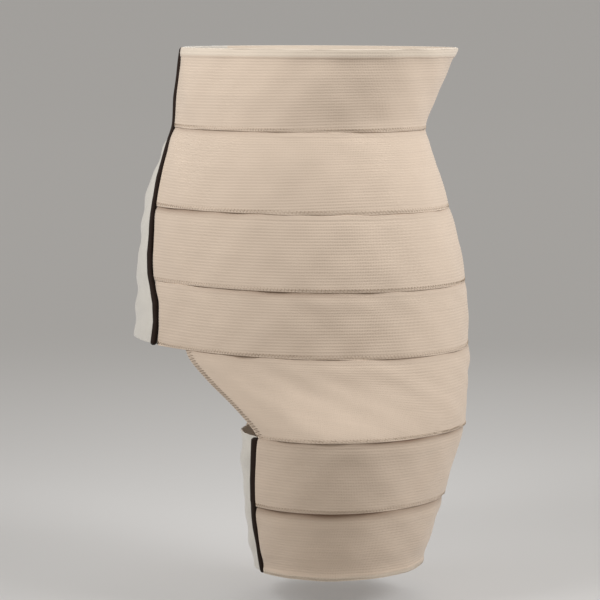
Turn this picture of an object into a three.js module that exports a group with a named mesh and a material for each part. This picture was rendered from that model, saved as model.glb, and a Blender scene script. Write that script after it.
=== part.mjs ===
// A hip compression wrap in its worn form: seven lapped strips of woven elastic round the waist, the
// hips and one thigh, closed by a hook and loop overlap at the front of the waist and of the thigh.
// Millimetres. +Z is up, the wearer faces -Y and their left side is +X. The origin is the middle of
// the waist, where the wrap is narrowest.
import * as THREE from 'three';

// Driving dimensions
const bandHeight = 75;
const waistHalfWidth = 138;
const waistHalfDepth = 104;
const hipHalfWidth = 183;
const hipHalfDepth = 136;
const waistPinch = 3;
const pinchReach = 16;
const thighHalfWidth = 95.5;
const thighHalfDepth = 117;
const hemHalfWidth = 76.5;
const hemHalfDepth = 81;
const legInset = 4;
const elastic = 1.8;
const panelWall = 1.8;
const hookWall = 1.2;
const gap = 0.3;
const lap = 6;
const seamRamp = 5;
const bulge = 0.6;
const topHem = 8;
const bottomHem = 5;
const hemRaise = 0.8;
const hemStep = 1.5;
const bindingWidth = 5;
const bindingCrown = 0.8;
const footBulge = 0.4 * bulge;
const torsoPanelShows = 104;
const thighPanelShows = 62;
const hookPadMargin = 4;

// The strips from the top edge down. shows is the height that shows of each, as a share of bandHeight,
// and part is what it goes round.
const strips = [
  { name: 'torso_band_1', part: 'torso', shows: 1.09 },
  { name: 'torso_band_2', part: 'torso', shows: 1.06 },
  { name: 'torso_band_3', part: 'torso', shows: 1.0 },
  { name: 'torso_band_4', part: 'torso', shows: 0.87 },
  { name: 'hip_band', part: 'hip', shows: 1.01 },
  { name: 'thigh_band_1', part: 'thigh', shows: 0.95 },
  { name: 'thigh_band_2', part: 'thigh', shows: 0.95 },
];

// Where a strip crowns, as shares of the way down it, and a hook pad's columns across a closure
const crownPlaces = [{ share: 0.35 }, { share: 0.62 }];
const hookPadPlaces = [{ columns: 0.2 }, { columns: 1 }, { columns: 1.8 }];

// Each strip's top and foot, with the waist at the foot of the first
let level = strips[0].shows * bandHeight;
for (const strip of strips) {
  strip.top = level;
  strip.foot = level - strip.shows * bandHeight;
  level = strip.foot;
}
const torsoStrips = strips.filter((strip) => strip.part === 'torso');
const hipStrip = strips.find((strip) => strip.part === 'hip');
const thighStrips = strips.filter((strip) => strip.part === 'thigh');
const topEdge = strips[0].top;
const hipSeam = hipStrip.top;
const legSeam = hipStrip.foot;
const hemEdge = strips[strips.length - 1].foot;

// Distances out from the body: the loop panel lies on it, each strip's tucked edge lies on the panel,
// and the rest of the strip stands out far enough to cover the next strip's tucked edge.
const tuckLift = panelWall + gap;
const bandLift = tuckLift + elastic + gap;
const bandTop = bandLift + elastic;

// Torso sections at equal steps from the top edge to the hip seam. wide and deep are shares of the way
// from the waist's half width and depth to the hip's, seat is the extra depth behind as a share of the
// hip's, and side and lean move the section left and back as shares of the waist's half width and depth.
const torsoSections = [
  { wide: 0.22, deep: 0.28, seat: 0.0, side: 0.055, lean: 0.16 },
  { wide: 0.0, deep: 0.0, seat: 0.0, side: -0.01, lean: -0.02 },
  { wide: 0.54, deep: 0.58, seat: 0.02, side: -0.06, lean: -0.02 },
  { wide: 0.88, deep: 0.88, seat: 0.05, side: -0.045, lean: 0.0 },
  { wide: 1.0, deep: 1.0, seat: 0.05, side: -0.04, lean: 0.0 },
];

// Thigh sections at equal steps from the leg seam to the hem. taper is the share of the way from the
// thigh's half width and depth to the hem's, and lean moves the section back as a share of the thigh's
// half depth.
const thighSections = [
  { taper: 0.0, lean: -0.28 },
  { taper: 0.44, lean: -0.32 },
  { taper: 1.0, lean: -0.31 },
];

// Directions of the overlapping ends, in degrees from straight ahead, at equal steps from the top edge to
// the hip seam and from the leg seam to the hem
const torsoClosureTurns = [
  { turn: -49 }, { turn: -50 }, { turn: -51 }, { turn: -41 }, { turn: -37 },
  { turn: -35 }, { turn: -34 }, { turn: -27.5 }, { turn: -28.5 },
];
const thighClosureTurns = [{ turn: -8 }, { turn: -12.5 }, { turn: -13.5 }];

// Columns of facets round each strip and across what lies along its end, and the torso columns where the
// fifth strip starts and ends
const torsoColumns = 52;
const hipFirstColumn = 3;
const hipLastColumn = 35;
const innerThighColumns = 9;
const underlapColumns = 2;
const panelColumns = 3;
const hookPadRows = 3;
const hipBackDegrees = 218;
const squareness = 2.15;
const fadeDegrees = 30;

const degree = Math.PI / 180;
const mix = (a, b, share) => a + (b - a) * share;
const clamp01 = (value) => Math.min(1, Math.max(0, value));
const smooth = (share) => share * share * (3 - 2 * share);

const cloth = (color, roughness) => new THREE.MeshStandardMaterial({ color, roughness, metalness: 0 });
const elasticMaterial = () => cloth(0xcdbba7, 0.9);
const loopMaterial = () => cloth(0xe0d8cc, 1);
const bindingMaterial = () => cloth(0x2d1e14, 0.8);
const hookMaterial = () => cloth(0xb9a48c, 0.7);

// A column of a section table read at a share of the way down, along a smooth curve through its rows
function follow(rows, key, share) {
  const place = share * (rows.length - 1);
  const first = Math.min(rows.length - 2, Math.max(0, Math.floor(place)));
  const t = place - first;
  const from = rows[first][key];
  const to = rows[first + 1][key];
  const before = first > 0 ? rows[first - 1][key] : 2 * from - to;
  const after = first + 2 < rows.length ? rows[first + 2][key] : 2 * to - from;
  const leave = (to - before) / 2;
  const arrive = (after - from) / 2;
  return from + leave * t + (3 * (to - from) - 2 * leave - arrive) * t ** 2
    + (2 * (from - to) + leave + arrive) * t ** 3;
}

// A point of a squarish oval section, in the direction given in degrees from straight ahead
function ovalPoint(direction, halfWidth, frontDepth, backDepth, centreX, centreY) {
  const across = Math.sin(direction * degree);
  const ahead = Math.cos(direction * degree);
  const depth = ahead > 0 ? frontDepth : backDepth;
  const reach = (Math.abs(ahead / depth) ** squareness + Math.abs(across / halfWidth) ** squareness)
    ** (-1 / squareness);
  return [centreX + reach * across, centreY - reach * ahead];
}

function torsoPoint(direction, z) {
  const share = (topEdge - z) / (topEdge - hipSeam);
  const read = (key) => follow(torsoSections, key, share);
  const pinch = waistPinch * Math.exp(-((z / pinchReach) ** 2));
  const depth = mix(waistHalfDepth, hipHalfDepth, read('deep')) - pinch;
  const halfWidth = mix(waistHalfWidth, hipHalfWidth, read('wide')) - pinch;
  return ovalPoint(direction, halfWidth, depth, depth + hipHalfDepth * read('seat'),
    waistHalfWidth * read('side'), waistHalfDepth * read('lean'));
}

function thighPoint(direction, z) {
  const share = (legSeam - z) / (legSeam - hemEdge);
  const taper = follow(thighSections, 'taper', share);
  const halfWidth = mix(thighHalfWidth, hemHalfWidth, taper);
  const depth = mix(thighHalfDepth, hemHalfDepth, taper);
  return ovalPoint(direction, halfWidth, depth, depth, halfWidth + legInset,
    thighHalfDepth * follow(thighSections, 'lean', share));
}

const torsoClosure = (z) => follow(torsoClosureTurns, 'turn', (topEdge - z) / (topEdge - hipSeam));

function thighClosure(z) {
  return follow(thighClosureTurns, 'turn', (legSeam - Math.min(z, legSeam)) / (legSeam - hemEdge));
}

// Turn between two directions that a length along the section covers there
const torsoTurn = (length) => length / waistHalfWidth / degree;
const thighTurn = (length) => length / hemHalfWidth / degree;

const torsoStep = (360 - torsoTurn(torsoPanelShows)) / torsoColumns;
const torsoDirection = (column, z) => torsoClosure(z) + column * torsoStep;
const hipColumns = hipLastColumn - hipFirstColumn;
const legStart = thighClosure(legSeam);
const legStep = (hipBackDegrees - legStart) / hipColumns;
const innerStep = (360 + legStart - thighTurn(thighPanelShows) - hipBackDegrees) / innerThighColumns;

function legDirection(column, z) {
  const outside = Math.min(column, hipColumns) * legStep;
  const inside = Math.max(0, column - hipColumns) * innerStep;
  return thighClosure(z) + outside + inside;
}

// The body from the hip seam to the leg seam turns from the torso's section into the thigh's. Each
// direction round the thigh has its own direction round the torso.
function legPoint(direction, z) {
  if (z <= legSeam) return thighPoint(direction, z);
  const column = (direction - legStart) / legStep;
  const outside = Math.max(0, direction - hipBackDegrees, legStart - direction);
  const torsoColumn = hipFirstColumn + Math.min(column, hipColumns);
  const torsoPart = torsoPoint(torsoDirection(torsoColumn, hipSeam), Math.max(z, hipSeam));
  const share = clamp01((z - legSeam) / (hipSeam - legSeam));
  const blend = mix(share, smooth(share), 0.5) * (1 - smooth(clamp01(outside / fadeDegrees)));
  const thighPart = thighPoint(direction, legSeam);
  return [mix(thighPart[0], torsoPart[0], blend), mix(thighPart[1], torsoPart[1], blend)];
}

function hipPoint(column, z) {
  if (z > hipSeam) return torsoPoint(torsoDirection(hipFirstColumn + column, z), z);
  return legPoint(legDirection(column, legSeam), z);
}

// A point moved straight out from the body by a distance, level with itself
function lifted(surface, place, z, distance) {
  const nearby = 0.01;
  const before = surface(place - nearby, z);
  const after = surface(place + nearby, z);
  const [x, y] = surface(place, z);
  const run = [after[0] - before[0], after[1] - before[1]];
  const length = Math.hypot(...run);
  return [x + (run[1] / length) * distance, y - (run[0] / length) * distance, z];
}

// One closed sheet: rows go down, places go round, and liftAt gives its inner and outer distance from
// the body at each row and column
function sheet(name, material, surface, rows, places, liftAt) {
  const positions = [];
  const width = places.length;
  for (const side of ['inner', 'outer']) {
    rows.forEach((row, r) => {
      places.forEach((place, c) => {
        const where = typeof place === 'function' ? place(row.z) : place;
        positions.push(...lifted(surface, where, row.z, liftAt(row, c, r)[side]));
      });
    });
  }
  const inner = (r, c) => r * width + c;
  const outer = (r, c) => (rows.length + r) * width + c;
  const faces = [];
  const quad = (a, b, c, d) => faces.push(a, b, c, a, c, d);
  for (let r = 0; r < rows.length - 1; r += 1) {
    for (let c = 0; c < width - 1; c += 1) {
      quad(outer(r, c), outer(r + 1, c), outer(r + 1, c + 1), outer(r, c + 1));
      quad(inner(r, c), inner(r, c + 1), inner(r + 1, c + 1), inner(r + 1, c));
    }
    quad(outer(r, 0), inner(r, 0), inner(r + 1, 0), outer(r + 1, 0));
    quad(outer(r, width - 1), outer(r + 1, width - 1), inner(r + 1, width - 1), inner(r, width - 1));
  }
  const last = rows.length - 1;
  for (let c = 0; c < width - 1; c += 1) {
    quad(outer(0, c), outer(0, c + 1), inner(0, c + 1), inner(0, c));
    quad(outer(last, c), inner(last, c), inner(last, c + 1), outer(last, c + 1));
  }
  const geometry = new THREE.BufferGeometry();
  geometry.setAttribute('position', new THREE.Float32BufferAttribute(positions, 3));
  geometry.setIndex(faces);
  geometry.computeVertexNormals();
  const mesh = new THREE.Mesh(geometry, material);
  mesh.name = name;
  return mesh;
}

// Rows of one strip of elastic. A strip is tucked under the one above, steps out below that one's edge,
// crowns a little and ends over the next strip's tucked edge. Free edges are folded into a hem.
function bandRows({ top, foot }) {
  const tucked = top < topEdge;
  const hemmed = foot === hemEdge;
  const row = (z, lift, thicker = 0) => ({ z, inner: lift, outer: lift + elastic + thicker });
  const start = tucked
    ? [row(top + lap, tuckLift), row(top - gap, tuckLift), row(top - gap - seamRamp, bandLift)]
    : [
      row(top, bandLift, hemRaise),
      row(top - topHem, bandLift, hemRaise),
      row(top - topHem - hemStep, bandLift),
    ];
  const crown = crownPlaces.map(({ share }) => row(mix(top, foot, share), bandLift + bulge));
  const end = hemmed
    ? [
      row(foot + bottomHem + hemStep, bandLift),
      row(foot + bottomHem, bandLift, hemRaise),
      row(foot, bandLift, hemRaise),
    ]
    : [row(foot + lap, bandLift + footBulge), row(foot, bandLift)];
  return [...start, ...crown, ...end];
}

const ownLift = (row) => row;
const rowMerge = 0.01;
const range = (count) => Array.from({ length: count }, (_, index) => index);

// Every height at which a strip or its neighbour has a row, so that what lies along the ends keeps its gap
function alongRows(crossed) {
  const { top } = crossed[0];
  const heights = [top, ...crossed.flatMap((strip) => bandRows(strip).map((row) => row.z))];
  return [...new Set(heights.filter((z) => z <= top).map((z) => Math.round(z / rowMerge) * rowMerge))]
    .sort((a, b) => b - a)
    .map((z) => ({ z }));
}

const wrap = new THREE.Group();

// Four strips round the waist and hips
const torsoPlaces = range(torsoColumns + 1).map((column) => (z) => torsoDirection(column, z));
for (const strip of torsoStrips) {
  wrap.add(sheet(strip.name, elasticMaterial(), torsoPoint, bandRows(strip), torsoPlaces, ownLift));
}

// The fifth strip, cut to a slant at both ends, from the hips to the thigh
const hipPlaces = range(hipColumns + 1);
wrap.add(sheet(hipStrip.name, elasticMaterial(), hipPoint, bandRows(hipStrip), hipPlaces, ownLift));

// Two strips round the thigh
const legPlaces = range(hipColumns + innerThighColumns + 1).map((column) => (z) => legDirection(column, z));
for (const strip of thighStrips) {
  wrap.add(sheet(strip.name, elasticMaterial(), legPoint, bandRows(strip), legPlaces, ownLift));
}

// The loop panel, binding and hook pads of one closure
function addClosure({ prefix, surface, closure, turn, shows, step, farStep, crossed }) {
  const rows = alongRows(crossed);
  const across = [
    ...range(underlapColumns).map((index) => (underlapColumns - index) * step),
    ...range(panelColumns + 1).map((index) => (-index / panelColumns) * turn(shows)),
    -turn(shows) - farStep,
  ].reverse();
  const panelPlaces = across.map((offset) => (z) => closure(z) + offset);
  wrap.add(sheet(`${prefix}_loop_panel`, loopMaterial(), surface, rows, panelPlaces,
    () => ({ inner: 0, outer: panelWall })));

  const bindingPlaces = [bindingWidth + gap, bindingWidth / 2 + gap, gap]
    .map((distance) => (z) => closure(z) - turn(distance));
  wrap.add(sheet(`${prefix}_edge_binding`, bindingMaterial(), surface, rows, bindingPlaces,
    (row, column) => ({ inner: tuckLift, outer: bandTop + (column === 1 ? bindingCrown : 0) })));

  crossed.forEach(({ top, foot }, index) => {
    const padTop = top - seamRamp - hookPadMargin;
    const padFoot = foot + lap + hookPadMargin;
    const padRows = range(hookPadRows + 1).map((index) => ({ z: mix(padTop, padFoot, index / hookPadRows) }));
    const padPlaces = hookPadPlaces.map(({ columns }) => (z) => closure(z) + columns * step);
    const lowest = (panelWall + bandLift - hookWall) / 2;
    wrap.add(sheet(`${prefix}_hook_pad_${index + 1}`, hookMaterial(), surface, padRows, padPlaces,
      () => ({ inner: lowest, outer: lowest + hookWall })));
  });
}

addClosure({
  prefix: 'front', surface: torsoPoint, closure: torsoClosure, turn: torsoTurn, shows: torsoPanelShows,
  step: torsoStep, farStep: torsoStep, crossed: torsoStrips,
});
addClosure({
  prefix: 'thigh', surface: legPoint, closure: thighClosure, turn: thighTurn, shows: thighPanelShows,
  step: legStep, farStep: innerStep, crossed: thighStrips,
});

export default wrap;
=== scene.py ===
"""Dresses a hip compression wrap in woven elastic, brushed loop, tape and stitches, on a plain stage."""

import math

import bpy
import numpy as np
from bpy.props import FloatProperty, FloatVectorProperty, PointerProperty
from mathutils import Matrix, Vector


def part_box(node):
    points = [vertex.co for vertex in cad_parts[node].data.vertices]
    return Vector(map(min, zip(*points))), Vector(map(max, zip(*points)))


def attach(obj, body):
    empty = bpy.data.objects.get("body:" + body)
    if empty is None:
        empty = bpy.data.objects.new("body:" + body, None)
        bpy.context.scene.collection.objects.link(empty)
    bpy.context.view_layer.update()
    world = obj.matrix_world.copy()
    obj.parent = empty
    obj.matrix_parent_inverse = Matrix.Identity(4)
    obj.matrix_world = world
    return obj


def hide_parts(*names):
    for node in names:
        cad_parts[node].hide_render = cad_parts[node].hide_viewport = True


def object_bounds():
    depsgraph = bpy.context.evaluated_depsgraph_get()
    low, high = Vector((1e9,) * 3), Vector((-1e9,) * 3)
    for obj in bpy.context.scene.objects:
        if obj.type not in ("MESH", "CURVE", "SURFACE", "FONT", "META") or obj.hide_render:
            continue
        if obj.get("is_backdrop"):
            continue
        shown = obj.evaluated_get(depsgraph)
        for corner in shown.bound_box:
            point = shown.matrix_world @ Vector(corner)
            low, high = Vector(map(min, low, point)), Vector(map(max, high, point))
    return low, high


bl_info = {
    "name": "Hip Compression Wrap",
    "version": (1, 0, 0),
    "blender": (4, 5, 0),
    "location": "View3D > Sidebar > Wrap",
    "description": "Builds the wrap's woven strips, closures and stitching round its frame",
    "category": "Object",
}

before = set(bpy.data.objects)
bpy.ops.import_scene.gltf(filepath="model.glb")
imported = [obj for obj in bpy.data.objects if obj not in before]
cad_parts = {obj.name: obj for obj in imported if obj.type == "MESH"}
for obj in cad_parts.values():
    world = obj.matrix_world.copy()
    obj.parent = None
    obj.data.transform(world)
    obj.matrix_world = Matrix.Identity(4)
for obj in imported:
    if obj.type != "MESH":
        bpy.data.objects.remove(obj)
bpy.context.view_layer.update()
BODY = "root"
FRAME_MATERIALS = {material.name for material in bpy.data.materials}

TORSO_STRIPS = [f"torso_band_{number}" for number in (1, 2, 3, 4)]
THIGH_STRIPS = ["thigh_band_1", "thigh_band_2"]
HOOK_PADS = sorted(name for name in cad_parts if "hook_pad" in name)

CLOTH_LAYER = "Cloth"
# Decimals of a metre to which the heights of one row's corners agree
SAME_HEIGHT = 5
# Places across a rounded edge, as shares of its radius
RIM_STEPS = (0.0, 0.12, 0.35, 0.65, 1.0)
# The last place on a grid that can be read between its lines, counted back from their number
LAST_PLACE = 1.001
THREAD_SIDES = 5
# How much of a step may be upward before a thread's ring is set up from another direction
NEARLY_UPRIGHT = 0.9
TINY = 1e-12


def middle(node):
    """The middle of a CAD node's box, seen from above."""
    low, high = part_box(node)
    return np.array([(low.x + high.x) / 2, (low.y + high.y) / 2])


TORSO_AXIS = middle("torso_band_4")
THIGH_AXIS = middle("thigh_band_2")


# Reading the frame


def corner_rows(node):
    """A CAD node's corners as {height: points seen from above}, from the top down."""
    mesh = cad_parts[node].data
    flat = np.empty(len(mesh.vertices) * 3)
    mesh.vertices.foreach_get("co", flat)
    points = np.unique(flat.reshape(-1, 3).round(SAME_HEIGHT + 1), axis=0)
    heights = points[:, 2].round(SAME_HEIGHT)
    return {z: points[heights == z][:, :2] for z in sorted(set(heights), reverse=True)}


def read_sheet(node, axis):
    """A sheet node's depths down from its top edge, its top's height, and its outer and inner points, with
    rows down it and columns round it."""
    outer, inner = [], []
    rows = corner_rows(node)
    for points in rows.values():
        away = points - axis
        turn = np.arctan2(away[:, 0], -away[:, 1])
        order = np.argsort(turn)
        gaps = np.diff(np.append(turn[order], turn[order[0]] + math.tau))
        order = np.roll(order, -1 - int(np.argmax(gaps)))
        pairs = order.reshape(-1, 2)
        far = np.linalg.norm(away[pairs], axis=2).argmax(axis=1)
        place = np.arange(len(pairs))
        outer.append(points[pairs[place, far]])
        inner.append(points[pairs[place, 1 - far]])
    heights = np.array(list(rows))
    return heights[0] - heights, heights[0], np.array(outer), np.array(inner)


def round_columns(values, places):
    """Rows of values read at fractional columns, along a smooth curve through the columns."""
    count = values.shape[1]
    first = np.clip(np.floor(places).astype(int), 0, count - 2)
    share = (places - first)[None, :, None]
    padded = np.concatenate(
        [2 * values[:, :1] - values[:, 1:2], values, 2 * values[:, -1:] - values[:, -2:-1]], axis=1
    )
    a, b, c, d = (padded[:, first + k] for k in range(4))
    return b + share * (
        (c - a) / 2 + share * (a - 2.5 * b + 2 * c - d / 2 + share * ((d - a) / 2 + 1.5 * (b - c)))
    )


def down_rows(depths, values, wanted):
    """Rows of values read at wanted depths, along a curve that doesn't overshoot the rows."""
    step = np.diff(depths)[:, None, None]
    slope = np.diff(values, axis=0) / step
    before, after = slope[:-1], slope[1:]
    near, far = 2 * step[1:] + step[:-1], step[1:] + 2 * step[:-1]
    with np.errstate(divide="ignore", invalid="ignore"):
        inside = np.where(before * after > 0, (near + far) / (near / before + far / after), 0.0)
    tangent = np.concatenate([slope[:1], inside, slope[-1:]])
    first = np.clip(np.searchsorted(depths, wanted, side="right") - 1, 0, len(depths) - 2)
    size = step[first]
    share = ((wanted - depths[first])[:, None, None]) / size
    start, end = values[first], values[first + 1]
    square, cube = share**2, share**3
    return (
        start * (2 * cube - 3 * square + 1)
        + tangent[first] * size * (cube - 2 * square + share)
        + end * (3 * square - 2 * cube)
        + tangent[first + 1] * size * (cube - square)
    )


def unit(vectors):
    return vectors / np.maximum(np.linalg.norm(vectors, axis=-1, keepdims=True), TINY)


def along(points, axis):
    """Distance run along a grid's rows or columns."""
    steps = np.linalg.norm(np.diff(points, axis=axis), axis=2)
    start = np.zeros_like(np.take(steps, [0], axis=axis))
    return np.concatenate([start, np.cumsum(steps, axis=axis)], axis=axis)


def rim_places(length, spacing, radius):
    """Places from 0 to length, close together where an edge is rounded off."""
    rim = np.array(RIM_STEPS) * radius
    middle_count = max(2, round((length - 2 * radius) / spacing))
    inside = np.linspace(radius, length - radius, middle_count + 1)[1:-1]
    return np.concatenate([rim, inside, length - rim[::-1]])


def rounded(distance, radius):
    """How full a sheet is at a distance from its edge, from 0 at the edge to 1."""
    share = np.clip(distance / radius, 0, 1)
    return np.sqrt(np.clip(1 - (1 - share) ** 2, 0, 1))


def fine_sheet(node, axis, row_spacing, column_spacing):
    """A CAD sheet read finely: its middle surface, half its wall, which way is out, its distances from its
    edges along the cloth, its depth below its top edge, and its direction round an axis in degrees."""
    depths, top, outer, inner = read_sheet(node, axis)
    centre = (outer + inner) / 2
    half = np.linalg.norm(outer - inner, axis=2, keepdims=True) / 2
    values = np.concatenate([centre, half], axis=2)
    edge = float(half.min())
    rows = down_rows(depths, values, rim_places(depths[-1], row_spacing, edge))
    run = np.linalg.norm(np.diff(centre[len(depths) // 2], axis=0), axis=1)
    run = np.append(0, np.cumsum(run))
    columns = np.interp(rim_places(run[-1], column_spacing, edge), run, np.arange(len(run)))
    grid = round_columns(rows, columns)
    height = top - rim_places(depths[-1], row_spacing, edge)
    surface = np.dstack([grid[:, :, :2], np.broadcast_to(height[:, None], grid.shape[:2])])
    across = np.gradient(surface, axis=1)
    down = np.gradient(surface, axis=0)
    out = unit(np.cross(down, across))
    u, v = along(surface, 1), along(surface, 0)
    return {
        "surface": surface, "half": grid[:, :, 2], "out": out, "u": u, "v": v,
        "left": u, "right": u[:, -1:] - u, "top": v, "foot": v[-1:] - v, "edge": edge,
        "depth": np.broadcast_to((height[0] - height)[:, None], u.shape),
        "direction": np.degrees(np.arctan2(surface[:, :, 0] - axis[0], axis[1] - surface[:, :, 1])),
    }


# Making meshes


def grid_faces(rows, columns, start, flip):
    index = start + np.arange(rows * columns).reshape(rows, columns)
    a, b, c, d = index[:-1, :-1], index[1:, :-1], index[1:, 1:], index[:-1, 1:]
    quads = np.stack([a, d, c, b] if flip else [a, b, c, d], axis=-1)
    return quads.reshape(-1, 4)


def border(rows, columns):
    """A grid's edge corners in order, once round."""
    index = np.arange(rows * columns).reshape(rows, columns)
    return np.concatenate([index[:-1, 0], index[-1, :-1], index[:0:-1, -1], index[0, :0:-1]])


def link(name, data):
    """A new object of this data, in the scene."""
    made = bpy.data.objects.new(name, data)
    bpy.context.scene.collection.objects.link(made)
    return made


def make_object(name, points, faces, material, uv=None, attributes=None):
    mesh = bpy.data.meshes.new(name)
    mesh.from_pydata(points.tolist(), [], faces if isinstance(faces, list) else faces.tolist())
    corners = np.empty(len(mesh.loops), dtype=np.int32)
    mesh.loops.foreach_get("vertex_index", corners)
    if uv is not None:
        layer = mesh.uv_layers.new(name=CLOTH_LAYER)
        layer.data.foreach_set("uv", uv[corners].ravel())
    for key, values in (attributes or {}).items():
        mesh.attributes.new(key, "FLOAT", "POINT").data.foreach_set("value", values.ravel())
    mesh.shade_smooth()
    mesh.materials.append(material)
    return link(name, mesh)


def cloth_object(name, sheet, material, raised, attributes):
    """A closed sheet of cloth with rounded edges, from a fine sheet and what its outer face is raised by.
    The outer face is added to the sheet, so that stitches can lie on it."""
    rows, columns = sheet["half"].shape
    full = sheet["half"] * (
        rounded(np.minimum(sheet["top"], sheet["foot"]), sheet["edge"])
        * rounded(np.minimum(sheet["left"], sheet["right"]), sheet["edge"])
    )
    nearest = np.minimum.reduce([sheet[side] for side in ("top", "foot", "left", "right")])
    fade = np.clip(nearest / sheet["edge"], 0, 1)
    lift = (full + raised * fade)[:, :, None]
    outer = sheet["surface"] + sheet["out"] * lift
    inner = sheet["surface"] - sheet["out"] * full[:, :, None]
    count = rows * columns
    rim = border(rows, columns)
    inner_of = np.arange(2 * count)
    inner_of[count + rim] = rim
    faces = np.concatenate([
        grid_faces(rows, columns, 0, False),
        inner_of[grid_faces(rows, columns, count, True)],
    ])
    points = np.concatenate([outer.reshape(-1, 3), inner.reshape(-1, 3)])
    used = np.unique(faces)
    renumber = np.zeros(len(points), dtype=int)
    renumber[used] = np.arange(len(used))
    flat = np.stack([sheet["u"].ravel(), sheet["v"].ravel()], axis=1)
    both = np.concatenate([flat, flat])[used]
    values = {key: np.concatenate([a.ravel(), a.ravel()])[used] for key, a in attributes.items()}
    made = make_object(name, points[used], renumber[faces], material, both, values)
    sheet["outer"] = outer
    return made


def tube_mesh(paths, radius):
    """Joined thin tubes along paths of points, closed at both ends."""
    turn = np.arange(THREAD_SIDES) * math.tau / THREAD_SIDES
    points, faces, start = [], [], 0
    for path in paths:
        path = np.asarray(path)
        ahead = unit(np.gradient(path, axis=0))
        reference = np.where(np.abs(ahead[:, 2:]) > NEARLY_UPRIGHT, [[1.0, 0.0, 0.0]], [[0.0, 0.0, 1.0]])
        side = unit(np.cross(ahead, reference))
        up = np.cross(side, ahead)
        ring = side[:, None] * np.cos(turn)[None, :, None] + up[:, None] * np.sin(turn)[None, :, None]
        points.append((path[:, None] + ring * radius).reshape(-1, 3))
        count = len(path)
        index = start + np.arange(count * THREAD_SIDES).reshape(count, THREAD_SIDES)
        turned = np.roll(index, -1, axis=1)
        quads = np.stack([index[:-1], turned[:-1], turned[1:], index[1:]], axis=-1).reshape(-1, 4)
        faces.extend(quads.tolist())
        faces.append(index[0][::-1].tolist())
        faces.append(index[-1].tolist())
        start += count * THREAD_SIDES
    return np.concatenate(points), faces


def outer_point(sheet, row, column, lift):
    """A point above a cloth's outer face, at fractional rows and columns."""
    rows, columns = sheet["half"].shape
    r = np.clip(row, 0, rows - LAST_PLACE)
    c = np.clip(column, 0, columns - LAST_PLACE)
    r0, c0 = r.astype(int), c.astype(int)
    dr, dc = (r - r0)[:, None], (c - c0)[:, None]

    def read(grid):
        return (
            grid[r0, c0] * (1 - dr) * (1 - dc) + grid[r0 + 1, c0] * dr * (1 - dc)
            + grid[r0, c0 + 1] * (1 - dr) * dc + grid[r0 + 1, c0 + 1] * dr * dc
        )

    return read(sheet["outer"]) + read(sheet["out"]) * lift


# Materials


# A Mix node's sockets for colours
MIX_COLOURS = slice(6, 8)
MIX_RESULT = 2

# Patterns of the cloths. scale, along and across say how fine a pattern is, strength how much of it shows,
# and darkest and lightest its shares of the cloth's own colour.
ELASTIC_PATCHES = {"scale": 9.0, "darkest": 0.9, "lightest": 1.08}
ELASTIC_STREAKS = (
    {"along": 6.0, "across": 900.0, "strength": 0.35, "darkest": 0.78},
    {"along": 5.0, "across": 260.0, "strength": 0.4, "darkest": 0.72},
)
ELASTIC_YARNS = {"strength": 0.07, "darkest": 0.7}
ELASTIC_FUZZ = {"scale": 2600.0, "height": 0.5}
LOOP_PATCHES = {"scale": 60.0, "darkest": 0.85, "lightest": 1.0}
LOOP_TUFTS = {"scale": 900.0, "strength": 0.4, "darkest": 0.7}
# Painted shade in the rib valleys of the tapes and thread, and painted highlight on their crests, as shares
# of their colour
TAPE_RIB_SHADE_AND_HIGHLIGHT = {"darkest": 0.8, "lightest": 1.15}
TAPE_PATCHES = {"scale": 400.0, "strength": 0.5, "darkest": 0.85}

# Gloss and relief of the cloths
ELASTIC_FINISH = {"Roughness": 0.86, "Sheen Weight": 0.25, "Sheen Roughness": 0.5}
LOOP_FINISH = {"Roughness": 0.95, "Sheen Weight": 0.5}
TAPE_FINISH = {"Sheen Weight": 0.04, "Specular IOR Level": 0.2}
ELASTIC_RELIEF = {"strength": 0.6, "distance": 0.00022}
LOOP_RELIEF = {"strength": 0.8, "distance": 0.0005}
TAPE_RELIEF = {"strength": 0.5, "distance": 0.0002}

# Height of one rib, and roughness, of the tapes and the thread
RIBBED = {
    "gap_shadow_tape": {"pitch": 0.0016, "rough": 0.8},
    "hook_face": {"pitch": 0.0015, "rough": 0.6},
    "sewing_thread": {"pitch": 0.0006, "rough": 0.6},
}


def node_material(name):
    """A new material, its node tree and its shader."""
    material = bpy.data.materials.new(name)
    material.use_nodes = True
    return material, material.node_tree, material.node_tree.nodes["Principled BSDF"]


def set_sockets(node, values):
    for socket, value in values.items():
        node.inputs[socket].default_value = value


def math_node(tree, operation, *values):
    made = tree.nodes.new("ShaderNodeMath")
    made.operation = operation
    for socket, value in zip(made.inputs, values):
        if isinstance(value, (int, float)):
            socket.default_value = value
        else:
            tree.links.new(value, socket)
    return made.outputs[0]


def wave(tree, place, pitch):
    """A wave from 0 to 1 along a place, one crest each pitch."""
    turns = math_node(tree, "MULTIPLY", place, math.tau / pitch)
    return math_node(tree, "MULTIPLY_ADD", math_node(tree, "SINE", turns), 0.5, 0.5)


def attribute(tree, name):
    made = tree.nodes.new("ShaderNodeAttribute")
    made.attribute_name = name
    return made.outputs["Fac"]


def bumped(tree, shader, height, strength, distance):
    bump = tree.nodes.new("ShaderNodeBump")
    bump.inputs["Strength"].default_value = strength
    bump.inputs["Distance"].default_value = distance
    tree.links.new(height, bump.inputs["Height"])
    tree.links.new(bump.outputs["Normal"], shader.inputs["Normal"])


def mixed_colour(tree, factor, first, second):
    """A mix of two colours, each of them a socket or three numbers."""
    made = tree.nodes.new("ShaderNodeMix")
    made.data_type = "RGBA"
    tree.links.new(factor, made.inputs["Factor"])
    for socket, value in zip(made.inputs[MIX_COLOURS], (first, second)):
        if hasattr(value, "default_value"):
            tree.links.new(value, socket)
        else:
            socket.default_value = (*value, 1.0)
    return made.outputs[MIX_RESULT]


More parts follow.
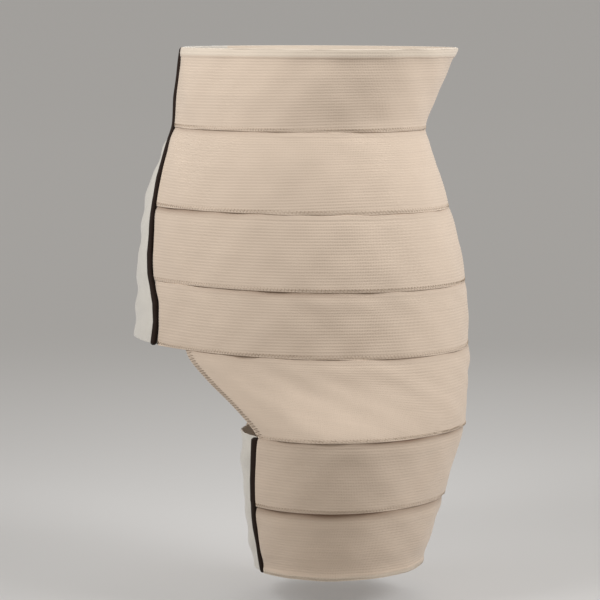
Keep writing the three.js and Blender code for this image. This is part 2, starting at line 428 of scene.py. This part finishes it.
def noise(tree, vector, scale, detail=3.0):
    made = tree.nodes.new("ShaderNodeTexNoise")
    made.inputs["Scale"].default_value = scale
    made.inputs["Detail"].default_value = detail
    tree.links.new(vector, made.inputs["Vector"])
    return made.outputs["Fac"]


def scaled(tree, vector, factors):
    made = tree.nodes.new("ShaderNodeVectorMath")
    made.operation = "MULTIPLY"
    tree.links.new(vector, made.inputs[0])
    made.inputs[1].default_value = factors
    return made.outputs[0]


def toned(colour, share):
    """A colour made darker by a share below 1, or lighter by one above it."""
    return tuple(c * share for c in colour)


def varied(tree, drawn, pattern, colour):
    """A colour between a pattern's darkest and lightest tone, as the pattern is drawn."""
    return mixed_colour(tree, drawn, toned(colour, pattern["darkest"]), toned(colour, pattern["lightest"]))


def shaded(tree, drawn, pattern, tone, colour):
    """A tone with some of a darker colour where a pattern is drawn."""
    factor = math_node(tree, "MULTIPLY", drawn, pattern["strength"])
    return mixed_colour(tree, factor, tone, toned(colour, pattern["darkest"]))


def elastic_material():
    """Woven elastic: yarns and ribs, level streaks, paler hems, and painted shade in the grooves between
    strips.
    """
    look = bpy.context.scene.wrap_look
    material, tree, shader = node_material("elastic_weave")
    base = tuple(look.elastic_colour)
    place = tree.nodes.new("ShaderNodeTexCoord").outputs["Object"]
    cloth_map = tree.nodes.new("ShaderNodeUVMap")
    cloth_map.uv_map = CLOTH_LAYER
    flat = cloth_map.outputs["UV"]
    split = tree.nodes.new("ShaderNodeSeparateXYZ")
    tree.links.new(flat, split.inputs[0])
    yarn = wave(tree, split.outputs["X"], look.yarn_pitch)
    rib = wave(tree, split.outputs["Y"], look.rib_pitch)
    tone = varied(tree, noise(tree, place, ELASTIC_PATCHES["scale"]), ELASTIC_PATCHES, base)
    for streaks in ELASTIC_STREAKS:
        stretched = scaled(tree, flat, (streaks["along"], streaks["across"], 1.0))
        tone = shaded(tree, noise(tree, stretched, scale=1.0, detail=1.0), streaks, tone, base)
    tone = shaded(tree, yarn, ELASTIC_YARNS, tone, base)
    tone = mixed_colour(tree, attribute(tree, "hem"), tone, tuple(look.hem_colour))
    # Painted shade: the groove under the strip above, and a softer band below it, are darkened in the colour
    tone = mixed_colour(tree, attribute(tree, "seam"), tone, tuple(look.seam_shade_colour))
    tree.links.new(tone, shader.inputs["Base Color"])
    set_sockets(shader, ELASTIC_FINISH)
    woven = math_node(tree, "MULTIPLY", yarn, rib)
    fuzz = noise(tree, place, ELASTIC_FUZZ["scale"], detail=2.0)
    fluff = math_node(tree, "MULTIPLY", fuzz, ELASTIC_FUZZ["height"])
    bumped(tree, shader, math_node(tree, "ADD", woven, fluff), **ELASTIC_RELIEF)
    return material


def loop_material():
    """Brushed loop: small tufts, with broad patches a little darker."""
    base = tuple(bpy.context.scene.wrap_look.loop_colour)
    material, tree, shader = node_material("brushed_loop")
    place = tree.nodes.new("ShaderNodeTexCoord").outputs["Object"]
    cells = tree.nodes.new("ShaderNodeTexVoronoi")
    cells.inputs["Scale"].default_value = LOOP_TUFTS["scale"]
    tree.links.new(place, cells.inputs["Vector"])
    tufts = cells.outputs["Distance"]
    tone = varied(tree, noise(tree, place, LOOP_PATCHES["scale"]), LOOP_PATCHES, base)
    tone = shaded(tree, tufts, LOOP_TUFTS, tone, base)
    tree.links.new(tone, shader.inputs["Base Color"])
    set_sockets(shader, LOOP_FINISH)
    bumped(tree, shader, tufts, **LOOP_RELIEF)
    return material


def ribbed_material(name, colour, pitch, rough):
    """A tape or thread with fine level ribs, painted darker in their valleys and lighter on their crests as
    shade and highlight.
    """
    material, tree, shader = node_material(name)
    place = tree.nodes.new("ShaderNodeTexCoord").outputs["Object"]
    split = tree.nodes.new("ShaderNodeSeparateXYZ")
    tree.links.new(place, split.inputs[0])
    rib = wave(tree, split.outputs["Z"], pitch)
    # Painted shade and highlight: darker where the ribs dip, lighter where they rise
    tone = varied(tree, rib, TAPE_RIB_SHADE_AND_HIGHLIGHT, colour)
    tone = shaded(tree, noise(tree, place, TAPE_PATCHES["scale"]), TAPE_PATCHES, tone, colour)
    tree.links.new(tone, shader.inputs["Base Color"])
    set_sockets(shader, {"Roughness": rough, **TAPE_FINISH})
    bumped(tree, shader, rib, **TAPE_RELIEF)
    return material


def shared(name, make):
    """A material of this scene, made the first time it is asked for. The frame's own have other names."""
    if name in FRAME_MATERIALS:
        raise RuntimeError(f"the frame has a material called {name}")
    return bpy.data.materials.get(name) or make()


def elastic():
    return shared("elastic_weave", elastic_material)


def loop_pile():
    return shared("brushed_loop", loop_material)


def ribbed(name, colour):
    return shared(name, lambda: ribbed_material(name, tuple(colour), **RIBBED[name]))


# Painted shade: the near-black tape along the overlapping ends stands in for the shadowed gap between an end
# and the panel under it
def gap_shadow_tape():
    return ribbed("gap_shadow_tape", bpy.context.scene.wrap_look.gap_shadow_colour)


def hook_tape():
    return ribbed("hook_face", bpy.context.scene.wrap_look.hook_colour)


def sewing_thread():
    return ribbed("sewing_thread", bpy.context.scene.wrap_look.thread_colour)


# Strips, closures and stitches


# Slow tension waves along a strip: how long they are, how far their phase turns from strip to strip, and the
# half waves down a strip
WAVES = (
    {"length": 0.19, "phase": 1.3, "down": 1.0},
    {"length": 0.083, "phase": 2.1, "down": 2.0},
    {"length": 0.047, "phase": 0.7, "down": 3.0},
)
# Depth below a strip's top edge at which it comes out from under the strip above
SEAM_DEPTH = 0.0063
# Height over which a hem's tone fades out
HEM_FADE = 0.001
# Lengths over which the painted shade line along a seam comes and goes
SEAM_FADES = (0.31, 0.17, 0.06)
# Where that line is read, in degrees from straight ahead, positive towards the wearer's left
SEAM_PLACES = (
    (-180, "behind"), (-120, "behind"), (-15, "front"), (42, "middle"), (75, "side"), (150, "behind"),
    (180, "behind"),
)
# How dark the painted shade line along each strip's top edge is there, and its width as a share of
# seam_width
SEAM_SHADE_LINES = {
    "torso_band_1": {"front": 0.00, "middle": 0.00, "side": 0.00, "behind": 0.0, "width": 1.0},
    "torso_band_2": {"front": 0.50, "middle": 0.00, "side": 0.00, "behind": 0.4, "width": 1.0},
    "torso_band_3": {"front": 0.80, "middle": 0.00, "side": 0.00, "behind": 0.4, "width": 1.2},
    "torso_band_4": {"front": 0.00, "middle": 0.85, "side": 0.00, "behind": 0.4, "width": 1.2},
    "hip_band": {"front": 0.20, "middle": 0.15, "side": 0.00, "behind": 0.4, "width": 1.0},
    "thigh_band_1": {"front": 0.30, "middle": 0.35, "side": 1.00, "behind": 0.5, "width": 1.1},
    "thigh_band_2": {"front": 0.70, "middle": 1.00, "side": 0.70, "behind": 0.5, "width": 1.7},
}
# Depths below a strip's top edge where its easing out, beside the foot of the strip above, starts, is full
# and ends
EASE_START, EASE_TOP, EASE_END = 0.0061, 0.0073, 0.0118
ROWS_A_RIB = 4
TAPE_SIDES = 16
TAPE_SQUARENESS = 2.6
# How much a binding's thickness varies, as a share of it, and over what lengths
TAPE_UNEVEN = 0.25
TAPE_SWELLS = (0.11, 0.07, 0.041)
# How much of a binding's curl it has at each share of its height down from the top
CURL_DEPTHS = (0.0, 0.2, 0.3, 0.5, 0.62, 0.7, 0.8, 1.0)
CURL_SHARES = (0.2, 0.2, 0.7, 0.55, 0.8, 1.3, 0.9, 1.2)
# How far a thread's middle lies above the cloth, as a share of its radius
THREAD_LIFT = 0.4
# Lengths of the ripples across a loop panel, and how far they slant
PANEL_RIPPLES = (0.071, 0.043, 0.029)
PANEL_SLANT = 0.3


def uneven(place, seed, sizes):
    """A slow wave of uneven length, about 1 high, from the lengths of its parts."""
    return sum(np.sin(place * math.tau / size + seed * (k + 1)) for k, size in enumerate(sizes)) / len(sizes)


def cloth_piece(name, node, sheet, material, raised, attributes):
    made = cloth_object(name, sheet, material, raised, attributes)
    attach(made, BODY)
    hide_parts(node)
    return made


def strip_object(node, sheet, hem_top, hem_foot):
    """One strip of elastic: ribs along it, slow tension waves, puckers along its foot, and a groove where it
    comes out from under the strip above, with painted shade in it and a softer painted shade below it."""
    look = bpy.context.scene.wrap_look
    seed = sum(map(ord, node))
    u, depth = sheet["u"], sheet["depth"]
    share = depth / depth[-1:]
    waves = sum(
        np.sin(u * math.tau / one["length"] + seed * one["phase"])
        * np.sin(share * math.pi * one["down"] + seed)
        for one in WAVES
    )
    pucker = np.sin(u * math.tau / look.pucker_length + seed) * np.exp(-sheet["foot"] / look.pucker_reach)
    rib = np.cos(sheet["v"] * math.tau / look.rib_pitch)
    line = SEAM_SHADE_LINES[node]
    directions = [direction for direction, _ in SEAM_PLACES]
    dark = np.interp(sheet["direction"], directions, [line[place] for _, place in SEAM_PLACES])
    raised = waves * look.tension_wave + pucker * look.pucker + rib * look.rib_height
    if not hem_top:
        eased = np.interp(depth, (EASE_START, EASE_TOP, EASE_END), (0, 1, 0))
        raised = raised + look.seam_ease * (1 - dark) * eased
    # Painted shade: a dark line in the groove under the foot of the strip above, with a softer shade fading
    # down below it
    groove = np.exp(-(((depth - SEAM_DEPTH) / (look.seam_width * line["width"])) ** 2))
    shade = look.seam_shade * np.exp(-np.clip(depth - SEAM_DEPTH, 0, None) / look.shade_reach)
    fading = 1 - look.seam_fade + look.seam_fade * uneven(u, seed, SEAM_FADES)
    seam = np.maximum(groove, shade) * (look.seam_shade_strength * dark * fading)
    hem = np.clip((hem_top - depth) / HEM_FADE, 0, 1)
    hem = hem + np.clip((hem_foot - sheet["foot"]) / HEM_FADE, 0, 1)
    attributes = {"seam": seam, "hem": hem * look.hem_strength}
    return cloth_piece(f"{node}_cloth", node, sheet, elastic(), raised, attributes)


def widest(points, direction):
    """The step between the two of these points that lie farthest apart in a direction."""
    reach = points @ direction
    return points[np.argmax(reach)] - points[np.argmin(reach)]


def binding_mesh(node, axis, curl):
    """A folded tape down a CAD binding: a squarish ring at close heights, swelling a little unevenly, with
    its free edge lifted by a curl."""
    look = bpy.context.scene.wrap_look
    rows = corner_rows(node)
    heights = np.array(list(rows))
    middles = np.array([points.mean(axis=0) for points in rows.values()])
    widths = np.array([
        widest(points, np.array([axis[1] - centre[1], centre[0] - axis[0]]))
        for points, centre in zip(rows.values(), middles)
    ])
    level = np.linspace(heights[0], heights[-1], round((heights[0] - heights[-1]) / look.tape_spacing))
    middles = np.column_stack([np.interp(-level, -heights, middles[:, k]) for k in (0, 1)])
    widths = np.column_stack([np.interp(-level, -heights, widths[:, k]) for k in (0, 1)])
    away = unit(middles - axis)
    front = unit(np.column_stack([widths[:, 1], -widths[:, 0]]))
    front *= np.sign((front * away).sum(axis=1, keepdims=True))
    swell = look.tape_depth * (1 + TAPE_UNEVEN * uneven(level, len(node), TAPE_SWELLS))
    turn = np.arange(TAPE_SIDES) * math.tau / TAPE_SIDES
    wide = np.sign(np.cos(turn)) * np.abs(np.cos(turn)) ** (2 / TAPE_SQUARENESS)
    deep = np.sign(np.sin(turn)) * np.abs(np.sin(turn)) ** (2 / TAPE_SQUARENESS)
    end = np.minimum(level[0] - level, level - level[-1]) + look.tape_spacing / 4
    close = rounded(end, look.tape_depth)[:, None, None]
    down = (level[0] - level) / (level[0] - level[-1])
    angle = (curl * np.interp(down, CURL_DEPTHS, CURL_SHARES))[:, None]
    half = np.linalg.norm(widths, axis=1, keepdims=True) / 2
    flat = unit(widths) * np.cos(angle) - front * np.sin(angle)
    outward = front * np.cos(angle) + unit(widths) * np.sin(angle)
    across = (flat * half)[:, None] * wide[None, :, None]
    outward = outward[:, None] * (swell[:, None, None] * deep[None, :, None])
    raised = front * (look.tape_lift + half * np.sin(angle))
    ring = middles[:, None] + (across + outward) * close + raised[:, None]
    points = np.dstack([ring, np.broadcast_to(level[:, None], ring.shape[:2])]).reshape(-1, 3)
    index = np.arange(len(points)).reshape(len(level), -1)
    turned = np.roll(index, -1, axis=1)
    quads = np.stack([index[:-1], turned[:-1], turned[1:], index[1:]], axis=-1).reshape(-1, 4).tolist()
    return points, [*quads, index[0][::-1].tolist(), index[-1].tolist()]


def zigzag(sheet, look):
    """Stitches in a zigzag along a strip, near its foot."""
    near, far = look.stitch_inset, look.stitch_inset + look.stitch_width
    length = float(sheet["u"][:, -1].mean())
    count = int(length / look.stitch_length)
    last = sheet["half"].shape[1] - 1
    place = np.linspace(0.5, last - 0.5, count)
    foot = sheet["foot"][:, 0]
    rows = [np.interp(-distance, -foot, np.arange(len(foot))) for distance in (near, far)]
    return outer_point(sheet, np.array(rows)[np.arange(count) % 2], place, look.thread_radius * THREAD_LIFT)


def hatch(sheet, side, look):
    """Strokes across a slanted cut edge, from its top to its foot."""
    run = sheet["v"][:, 0 if side == "left" else -1]
    count = int(run[-1] / look.hatch_pitch)
    rows = np.interp(np.linspace(0, run[-1], count), run, np.arange(len(run)))
    columns = np.arange(sheet["half"].shape[1])
    inward = columns if side == "left" else columns[::-1]
    reach = (look.stitch_inset, look.hatch_length)
    places = [
        np.interp(reach[k % 2], sheet[side][int(row)][inward], inward) for k, row in enumerate(rows)
    ]
    return outer_point(sheet, rows, np.array(places), look.thread_radius * THREAD_LIFT)


def sewn(name, paths, look):
    points, faces = tube_mesh(paths, look.thread_radius)
    made = make_object(name, points, faces, sewing_thread())
    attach(made, BODY)
    return made


def dress_strip(node, axis, hem_top=0.0, hem_foot=0.0, hatched=()):
    """One strip with its stitches."""
    look = bpy.context.scene.wrap_look
    sheet = fine_sheet(node, axis, look.rib_pitch / ROWS_A_RIB, look.column_spacing)
    made = strip_object(node, sheet, hem_top, hem_foot)
    paths = [zigzag(sheet, look)] + [hatch(sheet, side, look) for side in hatched]
    stitches = sewn(f"{node}_stitches", paths, look)


# Sizes and colours


class WrapLook(bpy.types.PropertyGroup):
    elastic_colour: FloatVectorProperty(
        name="Elastic", description="Colour of the woven strips", subtype="COLOR", size=3, min=0, max=1,
        default=(0.700, 0.560, 0.438),
    )
    hem_colour: FloatVectorProperty(
        name="Hem", description="Colour of the folded hems", subtype="COLOR", size=3, min=0, max=1,
        default=(0.74, 0.66, 0.55),
    )
    # Painted shade: the dark colour laid into the groove between strips
    seam_shade_colour: FloatVectorProperty(
        name="Seam", description="Colour in the groove of a lapped seam", subtype="COLOR", size=3,
        min=0, max=1, default=(0.16, 0.08, 0.038),
    )
    loop_colour: FloatVectorProperty(
        name="Loop", description="Colour of the brushed loop panels", subtype="COLOR", size=3, min=0,
        max=1, default=(0.74, 0.69, 0.61),
    )
    # Painted shade: this near-black tape colour stands in for the shadow in the gap at the closure
    gap_shadow_colour: FloatVectorProperty(
        name="Binding", description="Colour of the bound edges", subtype="COLOR", size=3, min=0, max=1,
        default=(0.020, 0.010, 0.006),
    )
    hook_colour: FloatVectorProperty(
        name="Hook tape", description="Colour of the hook pads", subtype="COLOR", size=3, min=0, max=1,
        default=(0.48, 0.37, 0.26),
    )
    thread_colour: FloatVectorProperty(
        name="Thread", description="Colour of the sewing thread", subtype="COLOR", size=3, min=0, max=1,
        default=(0.50, 0.385, 0.28),
    )
    rib_pitch: FloatProperty(
        name="Rib pitch", description="Height of one rib of the elastic", default=0.003, unit="LENGTH",
    )
    rib_height: FloatProperty(
        name="Rib height", description="How far a rib stands out", default=0.00013, unit="LENGTH",
    )
    yarn_pitch: FloatProperty(
        name="Yarn pitch", description="Spacing of the yarns across the ribs", default=0.0016,
        unit="LENGTH",
    )
    column_spacing: FloatProperty(
        name="Column spacing", description="Spacing of the mesh round the wrap", default=0.0045,
        unit="LENGTH",
    )
    tension_wave: FloatProperty(
        name="Tension wave", description="Height of the slow waves in a strip", default=0.0005,
        unit="LENGTH",
    )
    pucker: FloatProperty(
        name="Pucker", description="Height of the puckers along a seam", default=0.00022, unit="LENGTH",
    )
    pucker_length: FloatProperty(
        name="Pucker length", description="From one pucker to the next", default=0.017, unit="LENGTH",
    )
    pucker_reach: FloatProperty(
        name="Pucker reach", description="How far the puckers run up a strip", default=0.006,
        unit="LENGTH",
    )
    # Painted shade: how strongly the shade painted into the groove shows
    seam_shade_strength: FloatProperty(
        name="Seam line", description="How dark the groove of a seam is", default=1.0,
    )
    seam_ease: FloatProperty(
        name="Seam ease", description="How far a strip fills the step of a faint seam", default=0.0017,
        unit="LENGTH",
    )
    seam_fade: FloatProperty(
        name="Seam fade", description="How far the dark line comes and goes", default=0.15,
    )
    seam_width: FloatProperty(
        name="Seam width", description="Half width of the groove's dark line", default=0.0036,
        unit="LENGTH",
    )
    seam_shade: FloatProperty(
        name="Seam shade", description="Softer shade below the groove, as a share of it", default=0.16,
    )
    shade_reach: FloatProperty(
        name="Shade reach", description="How fast the softer shade fades", default=0.006, unit="LENGTH",
    )
    hem_strength: FloatProperty(
        name="Hem tone", description="How much of the hem's colour shows", default=0.5,
    )
    top_hem: FloatProperty(
        name="Top hem", description="Height of the folded hem at the top", default=0.008, unit="LENGTH",
    )
    bottom_hem: FloatProperty(
        name="Bottom hem", description="Height of the selvedge at the foot", default=0.005,
        unit="LENGTH",
    )
    stretch: FloatProperty(
        name="Stretch", description="Worn length of a strip over its cut length", default=1.15,
    )
    panel_spacing: FloatProperty(
        name="Panel spacing", description="Spacing of the mesh on the loop panels", default=0.003,
        unit="LENGTH",
    )
    panel_ripple: FloatProperty(
        name="Panel ripple", description="How far a loop panel ripples out where it is bare",
        default=0.0035, unit="LENGTH",
    )
    panel_cover: FloatProperty(
        name="Panel cover", description="Width of a loop panel that lies under the strips",
        default=0.024, unit="LENGTH",
    )
    tape_spacing: FloatProperty(
        name="Tape spacing", description="Spacing of the mesh down a binding", default=0.0015,
        unit="LENGTH",
    )
    tape_depth: FloatProperty(
        name="Tape depth", description="Half thickness of a folded binding", default=0.0030,
        unit="LENGTH",
    )
    tape_lift: FloatProperty(
        name="Tape lift", description="How far a binding lifts off the panel", default=0.0009,
        unit="LENGTH",
    )
    front_curl: FloatProperty(
        name="Front curl", description="How far the front binding's free edge turns outward",
        default=math.radians(45), subtype="ANGLE",
    )
    stitch_inset: FloatProperty(
        name="Stitch inset", description="From an edge to its stitches", default=0.0012, unit="LENGTH",
    )
    stitch_width: FloatProperty(
        name="Stitch width", description="Height of the zigzag", default=0.003, unit="LENGTH",
    )
    hatch_length: FloatProperty(
        name="Hatch length", description="Length of the strokes across a slanted edge", default=0.0095,
        unit="LENGTH",
    )
    hatch_pitch: FloatProperty(
        name="Hatch pitch", description="Half the spacing of the strokes", default=0.0018,
        unit="LENGTH",
    )
    stitch_length: FloatProperty(
        name="Stitch length", description="Length of half a zigzag", default=0.0017, unit="LENGTH",
    )
    thread_radius: FloatProperty(
        name="Thread radius", description="Radius of the sewing thread", default=0.00022, unit="LENGTH",
    )


# Stage


# right, near and up are a lamp's place from the middle of the wrap as the camera sees it, and aim is how
# far above the middle it points, in metres. size is its side, and spread the angle that it shines over in
# degrees.
LAMPS = (
    {"name": "left", "right": -1.1, "near": 0.5, "up": 0.75, "aim": 0.14,
     "spread": 75, "size": 0.8, "watts": 1.35},
    {"name": "left_high", "right": -0.75, "near": 0.55, "up": 0.95, "aim": 0.2,
     "spread": 70, "size": 0.5, "watts": 1.1},
    {"name": "right", "right": 1.15, "near": 0.4, "up": 0.75, "aim": 0.14,
     "spread": 75, "size": 0.8, "watts": 3.2},
    {"name": "back", "right": 0.4, "near": -1.5, "up": 1.2, "aim": 0.1,
     "spread": 120, "size": 1.4, "watts": 4.0},
)
# Rings of the floor outside its middle. It curves up into a low backdrop all round.
FLOOR_RINGS = (
    {"radius": 4.0, "rise": 0.0}, {"radius": 9.0, "rise": 0.0}, {"radius": 10.0, "rise": 0.12},
    {"radius": 11.0, "rise": 0.5}, {"radius": 11.8, "rise": 1.2}, {"radius": 12.3, "rise": 2.2},
    {"radius": 12.5, "rise": 3.4},
)
FLOOR_SIDES = 64
FLOOR_ROUGHNESS = 0.9
FLOOR_GLOW_COLOUR = (1.0, 0.985, 0.965, 1.0)


def turn_to(made, target):
    """Turns a camera or lamp towards a point, and gives the way to it."""
    way = target - made.location
    made.rotation_euler = way.to_track_quat("-Z", "Y").to_euler()
    return way


def lay_floor(stage, centre, level):
    turn = np.arange(FLOOR_SIDES) * math.tau / FLOOR_SIDES
    points = [(centre.x, centre.y, level)]
    for ring in FLOOR_RINGS:
        points += [
            (centre.x + ring["radius"] * math.cos(t), centre.y + ring["radius"] * math.sin(t),
             level + ring["rise"])
            for t in turn
        ]
    rings = 1 + np.arange(len(FLOOR_RINGS) * FLOOR_SIDES).reshape(-1, FLOOR_SIDES)
    after = np.roll(rings, -1, axis=1)
    faces = [(0, int(a), int(b)) for a, b in zip(rings[0], after[0])]
    faces += np.stack([rings[:-1], rings[1:], after[1:], after[:-1]], axis=-1).reshape(-1, 4).tolist()
    mesh = bpy.data.meshes.new("floor")
    mesh.from_pydata(points, [], faces)
    mesh.shade_smooth()
    material, _, shader = node_material("floor")
    set_sockets(shader, {
        "Base Color": (*stage.floor_colour, 1), "Roughness": FLOOR_ROUGHNESS,
        "Emission Color": FLOOR_GLOW_COLOUR, "Emission Strength": stage.floor_glow,
    })
    mesh.materials.append(material)
    link("floor", mesh)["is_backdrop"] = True


def set_camera(stage, centre, facing):
    data = bpy.data.cameras.new("camera")
    camera = link("camera", data)
    camera.location = Vector((centre.x, centre.y, stage.camera_rise)) + facing * stage.distance
    way = turn_to(camera, centre)
    data.lens = data.sensor_width / stage.framed * way.length
    bpy.context.scene.camera = camera


def hang_lamp(stage, lamp, centre, facing, right):
    data = bpy.data.lights.new(lamp["name"], "AREA")
    data.size = lamp["size"]
    data.energy = lamp["watts"] * stage.lamp_power
    data.spread = math.radians(lamp["spread"])
    data.color = tuple(stage.lamp_colour)
    made = link(lamp["name"], data)
    up = Vector((0, 0, 1))
    made.location = centre + right * lamp["right"] + facing * lamp["near"] + up * lamp["up"]
    turn_to(made, centre + up * lamp["aim"])


def light_studio(stage):
    world = bpy.data.worlds.new("studio")
    world.use_nodes = True
    set_sockets(world.node_tree.nodes["Background"], {
        "Color": (*stage.studio_colour, 1), "Strength": stage.studio_light,
    })
    bpy.context.scene.world = world
    bpy.context.scene.view_settings.view_transform = "Standard"


class WrapStage(bpy.types.PropertyGroup):
    azimuth: FloatProperty(
        name="Azimuth", description="Side that the camera stands on", subtype="ANGLE",
        default=math.radians(42),
    )
    distance: FloatProperty(
        name="Distance", description="From the camera to the wrap", default=2.7, unit="LENGTH",
    )
    camera_rise: FloatProperty(
        name="Camera rise", description="Height of the camera above the waist", default=0.12,
        unit="LENGTH",
    )
    framed: FloatProperty(
        name="Framed height", description="Height that the picture takes in", default=0.62,
        unit="LENGTH",
    )
    floor_drop: FloatProperty(
        name="Floor drop", description="From the hem down to the floor", default=0.03, unit="LENGTH",
    )
    lamp_power: FloatProperty(name="Lamp power", description="Share of the lamps' watts", default=1.0)
    lamp_colour: FloatVectorProperty(
        name="Lamps", description="Colour of the lamps", subtype="COLOR", size=3, min=0, max=1,
        default=(0.955, 0.975, 1.0),
    )
    studio_light: FloatProperty(
        name="Studio light", description="Strength of the light all round", default=0.41,
    )
    studio_colour: FloatVectorProperty(
        name="Studio", description="Colour of the light all round", subtype="COLOR", size=3, min=0,
        max=1, default=(0.90, 0.86, 0.80),
    )
    floor_colour: FloatVectorProperty(
        name="Floor", description="Colour of the floor", subtype="COLOR", size=3, min=0, max=1,
        default=(0.42, 0.41, 0.40),
    )
    floor_glow: FloatProperty(
        name="Floor glow", description="Light that the floor gives off itself", default=0.2,
    )


# Operators and panel


class WRAP_OT_torso_strips(bpy.types.Operator):
    """Weaves the four strips round the waist and hips"""
    bl_idname = "wrap.torso_strips"
    bl_label = "Torso strips"

    def execute(self, context):
        look = context.scene.wrap_look
        for number, node in enumerate(TORSO_STRIPS, start=1):
            first = number == 1
            dress_strip(node, TORSO_AXIS, hem_top=look.top_hem if first else 0.0)
        return {"FINISHED"}


class WRAP_OT_hip_strip(bpy.types.Operator):
    """Weaves the slant-ended strip from the hips to the thigh"""
    bl_idname = "wrap.hip_strip"
    bl_label = "Hip strip"

    def execute(self, context):
        dress_strip("hip_band", THIGH_AXIS, hatched=("left", "right"))
        return {"FINISHED"}


class WRAP_OT_thigh_strips(bpy.types.Operator):
    """Weaves the two strips round the thigh"""
    bl_idname = "wrap.thigh_strips"
    bl_label = "Thigh strips"

    def execute(self, context):
        look = context.scene.wrap_look
        for number, node in enumerate(THIGH_STRIPS, start=1):
            first = number == 1
            dress_strip(node, THIGH_AXIS, hem_foot=0.0 if first else look.bottom_hem)
        return {"FINISHED"}


class WRAP_OT_loop_panels(bpy.types.Operator):
    """Makes the brushed loop panels under the overlapping ends"""
    bl_idname = "wrap.loop_panels"
    bl_label = "Loop panels"

    def execute(self, context):
        look = context.scene.wrap_look
        for node, axis in (("front_loop_panel", TORSO_AXIS), ("thigh_loop_panel", THIGH_AXIS)):
            sheet = fine_sheet(node, axis, look.panel_spacing, look.panel_spacing)
            bare = np.minimum(sheet["left"], sheet["right"]) - look.panel_cover
            loose = np.clip(bare / look.panel_cover, 0, 1)
            place = sheet["v"] + PANEL_SLANT * sheet["u"]
            wavy = 0.5 + 0.5 * uneven(place, len(node), PANEL_RIPPLES)
            ripple = (loose * wavy * look.panel_ripple)[:, :, None]
            sheet["surface"] = sheet["surface"] + sheet["out"] * ripple
            raised = np.zeros_like(loose)
            made = cloth_piece(f"{node}_cloth", node, sheet, loop_pile(), raised, {})
        return {"FINISHED"}


class WRAP_OT_edge_bindings(bpy.types.Operator):
    """Binds the overlapping ends with dark tape, its near-black colour painted shade for the shadowed gap
    there
    """
    bl_idname = "wrap.edge_bindings"
    bl_label = "Edge bindings"

    def execute(self, context):
        look = context.scene.wrap_look
        ends = (("front_edge_binding", TORSO_AXIS, look.front_curl), ("thigh_edge_binding", THIGH_AXIS, 0.0))
        for node, axis, curl in ends:
            points, faces = binding_mesh(node, axis, curl)
            made = make_object(f"{node}_tape", points, faces, gap_shadow_tape())
            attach(made, BODY)
            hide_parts(node)
        return {"FINISHED"}


class WRAP_OT_hook_pads(bpy.types.Operator):
    """Gives the hidden hook pads their tape"""
    bl_idname = "wrap.hook_pads"
    bl_label = "Hook pads"

    def execute(self, context):
        for node in HOOK_PADS:
            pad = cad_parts[node]
            pad.data.materials.clear()
            pad.data.materials.append(hook_tape())
        return {"FINISHED"}


class WRAP_OT_stage(bpy.types.Operator):
    """Sets the floor, lights and camera"""
    bl_idname = "wrap.stage"
    bl_label = "Stage"

    def execute(self, context):
        stage = context.scene.wrap_stage
        low, high = (Vector(corner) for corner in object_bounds())
        centre = (low + high) / 2
        facing = Vector((math.sin(stage.azimuth), -math.cos(stage.azimuth), 0))
        right = Vector((math.cos(stage.azimuth), math.sin(stage.azimuth), 0))
        lay_floor(stage, centre, low.z - stage.floor_drop)
        set_camera(stage, centre, facing)
        for lamp in LAMPS:
            hang_lamp(stage, lamp, centre, facing, right)
        light_studio(stage)
        return {"FINISHED"}


OPERATORS = (
    WRAP_OT_loop_panels, WRAP_OT_edge_bindings, WRAP_OT_hook_pads, WRAP_OT_torso_strips, WRAP_OT_hip_strip,
    WRAP_OT_thigh_strips, WRAP_OT_stage,
)


class WRAP_PT_panel(bpy.types.Panel):
    bl_idname = "WRAP_PT_panel"
    bl_label = "Hip compression wrap"
    bl_space_type = "VIEW_3D"
    bl_region_type = "UI"
    bl_category = "Wrap"

    def draw(self, context):
        layout = self.layout
        for group in (context.scene.wrap_look, context.scene.wrap_stage):
            for key in group.__annotations__:
                layout.prop(group, key)
        for operator in OPERATORS:
            layout.operator(operator.bl_idname)


CLASSES = (WrapLook, WrapStage, *OPERATORS, WRAP_PT_panel)


def register():
    for cls in CLASSES:
        bpy.utils.register_class(cls)
    bpy.types.Scene.wrap_look = PointerProperty(type=WrapLook)
    bpy.types.Scene.wrap_stage = PointerProperty(type=WrapStage)


def unregister():
    del bpy.types.Scene.wrap_stage
    del bpy.types.Scene.wrap_look
    for cls in reversed(CLASSES):
        bpy.utils.unregister_class(cls)


def main():
    register()
    for operator in OPERATORS:
        group, name = operator.bl_idname.split(".")
        getattr(getattr(bpy.ops, group), name)()


if __name__ == "__main__":
    main()
